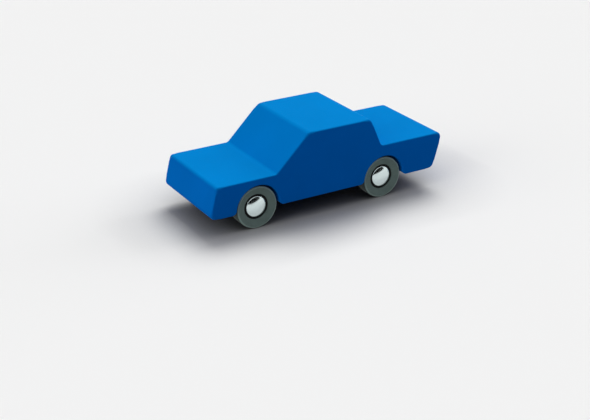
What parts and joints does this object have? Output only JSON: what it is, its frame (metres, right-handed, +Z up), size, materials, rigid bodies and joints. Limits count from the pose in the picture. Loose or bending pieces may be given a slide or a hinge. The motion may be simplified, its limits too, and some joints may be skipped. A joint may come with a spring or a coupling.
{
  "type": "toy car",
  "caption": "Painted wooden toy saloon car with round wheel arches, rubber-tyred wheels with bright caps, and a geared spring motor that drives the rear axle both ways.",
  "frame": {"origin": "on the floor under the middle of the car: halfway between nose and tail, on the middle plane, where the tyres stand", "axes": "+X forward, towards the nose; +Y to the car's left; +Z up"},
  "size_m": [0.1486, 0.0556, 0.0492],
  "materials": {
    "blue_paint": "solid wood under a satin coat of blue paint",
    "grey_rubber": "matt moulded rubber",
    "black_plastic": "black moulded plastic, fine satin",
    "white_plastic": "natural gear plastic",
    "chrome": "polished plating",
    "steel": "drawn steel"
  },
  "bodies": {
    "chassis": {"car_body": "blue_paint", "motor_case": "black_plastic", "motor_cover": "black_plastic", "idler_pin": "steel", "spring_arbor": "steel", "front_axle_holder": "black_plastic", "motor_screw_rear": "steel", "motor_screw_front": "steel", "holder_screw_rear": "steel", "holder_screw_front": "steel"},
    "front_axle_set": {"front_axle": "steel", "front_left_hub": "black_plastic", "front_left_tyre": "grey_rubber", "front_left_cap": "chrome", "front_right_hub": "black_plastic", "front_right_tyre": "grey_rubber", "front_right_cap": "chrome"},
    "rear_axle_set": {"rear_axle": "steel", "axle_pinion": "white_plastic", "rear_left_hub": "black_plastic", "rear_left_tyre": "grey_rubber", "rear_left_cap": "chrome", "rear_right_hub": "black_plastic", "rear_right_tyre": "grey_rubber", "rear_right_cap": "chrome"},
    "idler_set": {"idler_gear": "white_plastic"},
    "barrel_set": {"spring_barrel": "white_plastic", "mainspring": "steel"}
  },
  "joints": [
    {"name": "front_axle_spin", "type": "hinge", "parent": "chassis", "child": "front_axle_set", "pos_m": [0.04585, 0, 0.0121], "axis": [0, 1, 0], "continuous": true},
    {"name": "rear_axle_spin", "type": "hinge", "parent": "chassis", "child": "rear_axle_set", "pos_m": [-0.03515, 0, 0.0121], "axis": [0, 1, 0], "continuous": true, "stiffness_Nm_per_rad": 0.0002},
    {"name": "idler_spin", "type": "hinge", "parent": "chassis", "child": "idler_set", "pos_m": [-0.02787, 0, 0.01739], "axis": [0, 1, 0], "continuous": true},
    {"name": "barrel_spin", "type": "hinge", "parent": "chassis", "child": "barrel_set", "pos_m": [-0.01708, 0, 0.0169], "axis": [0, 1, 0], "continuous": true}
  ],
  "couplings": [
    {"joint": "idler_spin", "follows": "rear_axle_spin", "ratio": -0.5},
    {"joint": "barrel_spin", "follows": "rear_axle_spin", "ratio": 0.19231}
  ]
}
